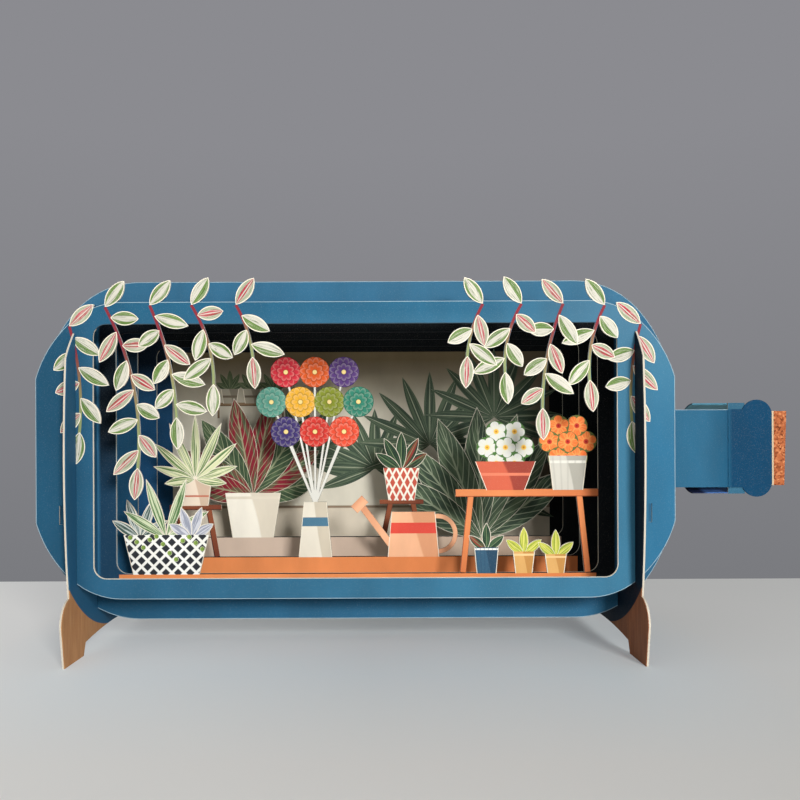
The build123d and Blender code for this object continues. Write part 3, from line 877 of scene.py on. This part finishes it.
jug_x = -16.8
jug = (9.0, 13.0, 21.0)
bunch_rows = ((3, 48.0), (4, 59.5), (3, 71.0))
bunch_spacing = 11.2
blossom_radius = 5.9
flower_stem_width = 0.9
petal_rings = ((0.99, 12.0, 0.0), (0.6, 8.0, 0.3))
bunch_inks = (ink(64, 52, 108), ink(206, 54, 46), ink(224, 78, 52), ink(88, 150, 132),
              ink(228, 170, 54), ink(130, 140, 44), ink(50, 126, 104), ink(200, 46, 60),
              ink(216, 90, 38), ink(88, 60, 120))
bunch_finish, tree = new_finish("bunch_blossom_print")
own_ink = node(tree, "ShaderNodeValToRGB", {0: attribute(tree, "tone")})
ramp = own_ink.socket.node.color_ramp
ramp.interpolation = "CONSTANT"
ramp.elements[0].color = bunch_inks[0]
ramp.elements[1].position, ramp.elements[1].color = 1 / len(bunch_inks), bunch_inks[1]
for number, colour in list(enumerate(bunch_inks))[2:]:
    ramp.elements.new(number / len(bunch_inks)).color = colour
deep_ink = node(tree, "ShaderNodeVectorMath", {0: own_ink, 3: 0.42}, operation="SCALE")
pale_ink = node(tree, "ShaderNodeMix", {0: 0.3, 6: own_ink, 7: cream}, 2, data_type="RGBA")
polar = placed(tree, round_place)
layers = []
for reach, petals, turned in petal_rings:
    ring = placed(tree, petal_ring, {"Away": polar["Away"], "Turn": polar["Turn"] + turned,
                                     "Reach": reach, "Petals": petals, "Notch": 0.3})
    layers += [(ring["Under"] * 0.75, deep_ink), (ring["Inside"], own_ink),
               (ring["Seam"] * 0.55, deep_ink), (ring["Tip"] * 0.6, pale_ink)]
layers += [(fade(polar["Away"], 0.21, 0.16), deep_ink),
           (fade(polar["Away"], 0.17, 0.12), ink(240, 212, 140))]
lay_print(bunch_finish, overprint(own_ink, *layers))
mouth = (jug_x, floor + jug[2] - stem_width)
bunch, bunch_stems = [], []
for count, rise in bunch_rows:
    for n in range(count):
        blossom = (jug_x + (n - (count - 1) / 2) * bunch_spacing, floor + rise)
        bunch.append(disc(*blossom, blossom_radius, (len(bunch) + 0.5) / len(bunch_inks)))
        bunch_stems.append(bar(mouth, blossom, flower_stem_width, stem_trim))
white_stem = plain_finish("white_stem_print", ink(224, 222, 212), ink(214, 214, 204))
print_piece("bunch_stems", bunch_stems, sheet, white_stem)
print_piece("bunch_blossoms", bunch, sheet, bunch_finish)
jug_finish = pot_finish("jug_print", ink(232, 224, 206), ink(206, 195, 174), ink(78, 120, 144),
                        0.56, 0.72)
print_piece("jug_print", [pot(jug_x, floor, *jug)], sheet, jug_finish)

can_x = 21.0
can = (17.0, 20.0, 17.0)
spout_reach = 12.0
spout_rise = 16.0
spout_width = 2.6
rose_width = 6.0
handle_reach = 8.0
handle_width = 1.8
can_finish = pot_finish("can_print", ink(240, 182, 142), ink(220, 156, 116), ink(220, 78, 64),
                        0.52, 0.76)
can_trim = plain_finish("can_trim_print", ink(238, 178, 138), ink(216, 150, 112))
spout_root = (can_x - can[1] / 2 + spout_width, floor + spout_width)
spout_tip = (spout_root[0] - spout_reach, spout_root[1] + spout_rise)
rose_end = (spout_tip[0] - spout_width, spout_tip[1] + spout_width)
handle_x = can_x + can[1] / 2 - handle_width
handle_path = arc((handle_x, floor + can[2] - handle_width),
                  (handle_x + handle_reach, floor + can[2] / 2),
                  (handle_x, floor + handle_width), 20)
can_parts = [bar(spout_root, spout_tip, spout_width), bar(spout_tip, rose_end, rose_width),
             strip(handle_path, bar_trim - handle_width / 2, handle_width / 2 - bar_trim)]
print_piece("can_trim", can_parts, sheet, can_trim)
print_piece("can_print", [pot(can_x, floor, *can)], sheet, can_finish)

# Fourth sheet. The same card again, with an urn of broad leaves, a small plant on a stool and a
# tall plant die-cut inside its window, over a beige floor.
sheet = "fourth_frame"
floor, side = window_floors[sheet], window_sides[sheet]
fourth_finish, tree = new_finish("fourth_painted_shade_print")
# Its inner print carries the painted shade of the sheets in front.
printed = inner_print(tree, ink(42, 100, 132), ink(32, 84, 126))
dress(sheet, lay_card(fourth_finish, printed, card_back))
beige_floor = plain_finish("beige_floor_print", ink(212, 189, 170), ink(184, 158, 136))
print_piece("fourth_floor_print", [floor_strip(sheet, 12.0)], sheet, beige_floor)
print_edging("fourth", sheet, inner_edge)

# Veined leaf: a body ink, on a share of the leaves a second one, streaks of a third, and paler
# ribs that slant away from the middle
veined_leaf, (body, streak_ink, second, vein, share, streak) = new_group("veined_leaf", {
    "Body": cream, "Streaks": cream, "Second": cream, "Vein": cream, "Share": 0.0, "Streak": 0.5})
u, v = pattern_parts(veined_leaf)
middle = abs(v - 0.5)
slant = middle * -5.0 + u * 9.0
ribs = measure("MAXIMUM", fade(measure("PINGPONG", slant, 0.5), 0.1, 0.04), fade(middle, 0.04, 0.02))
give(veined_leaf, {"Colour": overprint(
    body, (attribute(veined_leaf, "tone") > 1.0 - share, second),
    (fade(streak, 0.45, 0.65), streak_ink), (ribs * 0.75, vein))})


def veined_finish(name, body, streak_ink, second, share, vein):
    """Broad leaf with its own inks, and with bare card round its edge."""
    finish, tree = new_finish(name)
    sockets = {"Body": body, "Streaks": streak_ink, "Second": second, "Vein": vein,
               "Share": share, "Streak": streaks(tree, 3.0, 6.0, 5.0)}
    return lay_print(finish, placed(tree, veined_leaf, sockets)["Colour"], 0.2)


tall_x = side - 33.3
tall_headings = (38, 56, 74, 92, 110, 128, 146)
tall_leaf = (54.0, 13.0)
tall_finish = veined_finish("tall_leaf_print", ink(70, 86, 68), ink(92, 110, 84), ink(56, 72, 58),
                            0.3, ink(160, 170, 142))
tall_leaves = leaf_fan(tall_x, floor - stem_width, tall_headings, *tall_leaf)
print_piece("tall_leaves", tall_leaves, sheet, tall_finish)

urn_x = 39.3 - side
urn = (23.0, 17.0, 18.0)
urn_headings = (12, 34, 56, 79, 101, 124, 146, 168)
urn_leaf = (41.0, 11.0)
urn_finish = pot_finish("urn_print", ink(252, 246, 230), ink(230, 220, 200), ink(234, 224, 204),
                        0.86, 0.92)
broad_finish = veined_finish("broad_leaf_print", ink(58, 78, 56), ink(84, 104, 74), ink(136, 36, 50),
                             0.4, ink(164, 170, 134))
urn_leaves = leaf_fan(urn_x, floor + urn[2] - stem_width, urn_headings, *urn_leaf)
print_piece("urn_leaves", urn_leaves, sheet, broad_finish)
print_piece("urn_print", [pot(urn_x, floor, *urn)], sheet, urn_finish)

side_x = 17.0
side_stool = (18.0, 15.0, 2.0)
side_pot = (15.0, 11.0, 13.0)
side_headings = (34, 62, 90, 118, 146)
side_leaf = (16.0, 4.6)
side_top = floor + side_stool[1]
checked_pot = lattice_finish("checked_pot_print", ink(242, 236, 220), ink(196, 86, 68),
                             3.0, 6.0, 0.12)
print_piece("side_stool_print", small_stool(side_x, floor, *side_stool), sheet, stool_finish)
side_leaves = leaf_fan(side_x, side_top + side_pot[2] - stem_width, side_headings, *side_leaf)
print_piece("side_leaves", side_leaves, sheet, dark_leaf)
print_piece("side_pot_print", [pot(side_x, side_top, *side_pot)], sheet, checked_pot)

# Back sheet. A whole sheet without a window. Its front carries the printed room: a beige wall,
# a low ledge, palm fans at the right and a shelf of pots at the left. Its back is plain blue.
sheet = "back_panel"
back_finish, tree = new_finish("back_painted_shade_print")
# Its inner print carries the painted shade of the sheets in front.
printed = inner_print(tree, ink(42, 98, 130), ink(34, 84, 126))
dress(sheet, lay_card(back_finish, printed, ink(42, 104, 136)))
print_piece("back_outline", outline_edging(sheet), sheet, outline_edge)
wall_half = 82.0
wall_low = -46.0
wall_high = 42.6
ledge_share = 0.24
s, t = grid(9, 9)
wall = shape(wall_half * s, wall_low + (wall_high - wall_low) * (t + 1) / 2, (s + 1) / 2,
             (t + 1) / 2, 1.0, 0.0)
# The wall is painted darker towards its top and its right side: painted shade of the sheets in front.
wall_finish, tree = new_finish("printed_wall_painted_shade")
u, v = pattern_parts(tree)
lay_print(wall_finish, overprint(
    ink(226, 220, 202), (fade(v, 0.6, 0.96), ink(122, 108, 82)),
    (fade(u, 0.76, 1.0), ink(104, 92, 74)), (v < ledge_share, ink(222, 210, 190)),
    (fade(abs(v - ledge_share), 0.008, 0.004), ink(150, 130, 108))))
print_piece("wall_print", [wall], sheet, wall_finish)

shelf_y = 20.0
shelf_ends = (-66.0, -30.0)
shelf_board = 1.6
bracket_inset = 4.0
bracket_drop = 6.0
bracket_width = 1.0
shelf_pot_places = (-57.0, -47.5, -38.0)
shelf_pot = (8.0, 6.0, 6.0)
shelf_leaf_headings = (30, 60, 90, 120, 150)
shelf_leaf = (9.0, 2.6)
shelf_finish = plain_finish("shelf_print", ink(142, 116, 88), ink(120, 96, 72), ink(84, 64, 48), 0.2)
brackets = [bar((x, shelf_y - bracket_width), (x, shelf_y - bracket_drop), bracket_width)
            for x in (shelf_ends[0] + bracket_inset, shelf_ends[1] - bracket_inset)]
shelf = bar((shelf_ends[0], shelf_y), (shelf_ends[1], shelf_y), shelf_board)
print_piece("shelf_print", [shelf, *brackets], sheet, shelf_finish)
faded_leaf = leaf_finish("faded_leaf_print", ink(104, 116, 84), ink(68, 82, 60), ink(140, 146, 112),
                         0.0)
shelf_plants = [one for x in shelf_pot_places
                for one in leaf_fan(x, shelf_y + shelf_pot[2], shelf_leaf_headings, *shelf_leaf)]
print_piece("shelf_plants", shelf_plants, sheet, faded_leaf)
grey_pot = pot_finish("grey_pot_print", ink(172, 164, 146), ink(138, 130, 114), ink(116, 104, 88),
                      0.4, 0.55)
shelf_pots = [pot(x, shelf_y + shelf_board / 2, *shelf_pot) for x in shelf_pot_places]
print_piece("shelf_pots", shelf_pots, sheet, grey_pot)

palm_headings = range(-20, 201, 22)
palm_leaf_width = 5.2
palm_roots = ((-24.0, -4.0, 24.0), (6.0, -8.0, 26.0), (52.0, -18.0, 34.0), (30.0, 2.0, 32.0),
              (58.0, 14.0, 30.0))
palm_finish = leaf_finish("palm_print", ink(90, 106, 84), ink(64, 80, 66), ink(172, 178, 152), 0.0,
                          along=1.0, across=7.0)
palms = [leaf((x, y), heading, length, palm_leaf_width, draw.random())
         for x, y, length in palm_roots for heading in palm_headings]
print_piece("palm_fans", palms, sheet, palm_finish)

# Supports. Two boards across the card, slotted from above, with splayed feet. They are printed
# blue as far as the bottle reaches and wood brown on the feet, and on the right support both are
# painted darker as painted shade. Their cut edges are bare board, and the print runs a little way
# over the inner corner.
support_finish, tree = new_finish("support_painted_shade_print")
place = object_place(tree)
x, y, z = split(place)
rise = z - axis_z
away = measure("SQRT", rise * rise + y * y)
printed_reach = (body_radius + 1) / 1000
inner_corner = (sum(slot_side) / 2 - 0.15) / 1000
upright = node(tree, "ShaderNodeMapping", {"Vector": place, "Scale": (1.0, 1.0, 0.12)})
# The right support's blue and wood are painted darker than the left's: painted shade.
right_painted_shade = fade(x, axis_x, axis_x + 0.001)
pale_wood_shaded_right = overprint(ink(186, 138, 94), (right_painted_shade, ink(148, 98, 66)))
dark_wood_shaded_right = overprint(ink(166, 118, 78), (right_painted_shade, ink(126, 78, 54)))
wood = overprint(pale_wood_shaded_right, (fade(noise(upright, 700.0, 4.0), 0.3, 0.7), dark_wood_shaded_right))
blue = overprint(ink(38, 88, 120), (right_painted_shade, ink(10, 26, 40)))
printed = overprint(blue, (fade(away, printed_reach, printed_reach + 0.0002), wood))
inner = abs(x - axis_x) < inner_corner
printed_side = measure("MAXIMUM", placed(tree, card_sides)["Flank"], inner)
lay_print(support_finish, overprint(ink(206, 197, 180), (printed_side, printed)))
for support in ("left_support", "right_support"):
    dress(support, support_finish)

# Neck. The lip is a blue card glued on the front of the neck, the cork is a thicker card behind
# it, printed like cork, and a strip of blue card bends round the back of the neck.
lip_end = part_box("neck_lip")[1].x
lip_finish, tree = new_finish("lip_painted_light_print")
sides = placed(tree, card_sides)
along = split(object_place(tree))[0]
# The lip's left flank is painted pale blue: painted light where it lies in shade.
painted_light_flank = sides["Flank"] * (along < neck_end + 0.001)
bare = (along > lip_end - 0.006) * (1.0 - sides["Front"])
dress("neck_lip", lay_print(lip_finish, overprint(
    neck_shade, (fade(along, neck_end, neck_end + 0.0015), ink(5, 61, 93)),
    (painted_light_flank, ink(98, 184, 226)), (bare, cream))))
collar_finish, tree = new_finish("collar_painted_light_print")
along, _, height = split(object_place(tree))
# The collar's middle band and the inside of its upper half are painted pale: painted light where they
# lie in shade.
painted_light_inside_top = (height > axis_z) * placed(tree, card_sides)["Downward"]
low_band = overprint(ink(16, 26, 58),
                     (fade(along, neck_end - 0.0095, neck_end - 0.0075), ink(58, 92, 146)))
dress("neck_collar", lay_print(collar_finish, overprint(
    low_band, (beyond(tree, "Z", -4, 4), ink(68, 128, 152)), (painted_light_inside_top, ink(146, 206, 226)))))
cork_finish, tree = new_finish("cork_print")
sides = placed(tree, card_sides)
crumbs = node(tree, "ShaderNodeTexVoronoi", {"Vector": object_place(tree), "Scale": 1500.0}, "Color")
crumb_ink = node(tree, "ShaderNodeValToRGB", {0: node(tree, "ShaderNodeSeparateColor", {0: crumbs})})
ramp = crumb_ink.socket.node.color_ramp.elements
ramp[0].color = ink(110, 54, 31)
ramp[1].color = ink(206, 134, 88)
ramp.new(0.4).color = ink(164, 90, 53)
ramp.new(0.75).color = ink(182, 105, 65)
clear = split(object_place(tree))[0] > lip_end + 0.0009
faces = measure("MAXIMUM", sides["Front"] * clear, sides["Back"])
printed = overprint(ink(196, 176, 146), (faces, crumb_ink))
dress("cork", lay_print(cork_finish, printed, roughness=0.8))

# Table and studio. A pale table top that ends at a grey wall some way behind the card, a soft
# lamp from the right with a wide one beside the camera, and the photograph's own view.
table_front = -1.2
table_back = 0.124
table_half = 1.6
table_glow = 0.38
s, t = grid(2, 2)
table_y = (table_front + table_back) / 2 + (table_back - table_front) / 2 * t
corners = np.stack([table_half * s, table_y, 0 * s], axis=-1).reshape(-1, 3)
table_mesh = bpy.data.meshes.new("table_top")
table_mesh.from_pydata(corners.tolist(), [], [(0, 2, 3, 1)])
table_top = bpy.data.objects.new("table_top", table_mesh)
bpy.context.scene.collection.objects.link(table_top)
table_finish, tree = new_finish("table_finish")
painted = tree.nodes["Principled BSDF"]
x, y, _ = split(object_place(tree))
# Under the card the table's ink has a cooler tint, a painted colour for the card's shadow.
painted_shadow_tint = beyond(tree, "Y", -130, -60) * fade(abs(x - axis_x), 0.13, 0.08)
table_ink = overprint(ink(243, 240, 233), (noise(object_place(tree), 5.0), ink(248, 245, 239)),
                      (painted_shadow_tint, ink(232, 243, 246)))
tree.links.new(table_ink.socket, painted.inputs["Base Color"])
painted.inputs["Roughness"].default_value = 0.6
# Seen directly, the table glows with painted light: bright on the left and darker to the right, most
# of all nearest the camera.
near_painted_light = overprint(ink(228, 229, 230), (fade(x, -0.2, 0.16), ink(98, 101, 104)))
far_painted_light = overprint(ink(236, 238, 240), (fade(x, -0.16, -0.02), ink(171, 175, 179)))
pale = overprint(near_painted_light, (fade(y, -0.15, -0.05), far_painted_light))
glow = node(tree, "ShaderNodeEmission", {"Color": pale, "Strength": 1.0})
seen = node(tree, "ShaderNodeLightPath").socket.node.outputs
direct = measure("MAXIMUM", Value(seen["Is Camera Ray"]), Value(seen["Is Glossy Ray"]))
lit = node(tree, "ShaderNodeMixShader", {
    0: direct * table_glow, 1: Value(painted.outputs[0]), 2: glow})
tree.links.new(lit.socket, tree.nodes["Material Output"].inputs[0])
table_mesh.materials.append(table_finish)

world = bpy.data.worlds.new("studio")
world.use_nodes = True
bpy.context.scene.world = world
tree = world.node_tree
room = tree.nodes["Background"]
room.inputs["Color"].default_value = (1, 1, 1, 1)
room.inputs["Strength"].default_value = 0.3
upward = split(node(tree, "ShaderNodeTexCoord", output="Generated"))[2]
wall_grey = overprint(ink(122, 123, 127), (fade(upward, -0.15, 0.35), ink(139, 139, 144)))
wall_light = node(tree, "ShaderNodeBackground", {"Color": wall_grey, "Strength": 1.0})
seen = node(tree, "ShaderNodeLightPath", output="Is Camera Ray")
shown = node(tree, "ShaderNodeMixShader", {0: seen, 1: Value(room.outputs[0]), 2: wall_light})
tree.links.new(shown.socket, tree.nodes["World Output"].inputs[0])


def lamp(name, place, aim, size, power):
    """Square soft lamp at a place, turned to a point."""
    light = bpy.data.lights.new(name, "AREA")
    light.size, light.energy = size, power
    stand_in = bpy.data.objects.new(name, light)
    stand_in.location = place
    towards = Vector(aim) - Vector(place)
    stand_in.rotation_euler = towards.to_track_quat("-Z", "Y").to_euler()
    bpy.context.scene.collection.objects.link(stand_in)


lamp("key_lamp", (0.3, -0.93, 0.31), (axis_x, 0, axis_z), 0.2, 8.8)
lamp("fill_lamp", (-0.5, -0.9, 0.5), (axis_x, 0, axis_z), 0.8, 1.1)

photo_width = 800.0
focal_length = 803.0
view_axis = (380.0, 449.7)
camera_offset = 0.00825
camera_distance = 0.3101
camera_roll = 0.24
camera = bpy.data.cameras.new("camera")
camera.sensor_fit = "HORIZONTAL"
camera.sensor_width = 36.0
camera.lens = focal_length / photo_width * camera.sensor_width
camera.shift_x = (photo_width / 2 - view_axis[0]) / photo_width
camera.shift_y = (view_axis[1] - photo_width / 2) / photo_width
camera.clip_start = 0.01
viewer = bpy.data.objects.new("camera", camera)
viewer.location = (axis_x + camera_offset, -camera_distance, axis_z)
viewer.rotation_euler = (np.radians(90), np.radians(camera_roll), 0)
bpy.context.scene.collection.objects.link(viewer)
bpy.context.scene.camera = viewer
bpy.context.scene.view_settings.view_transform = "Standard"
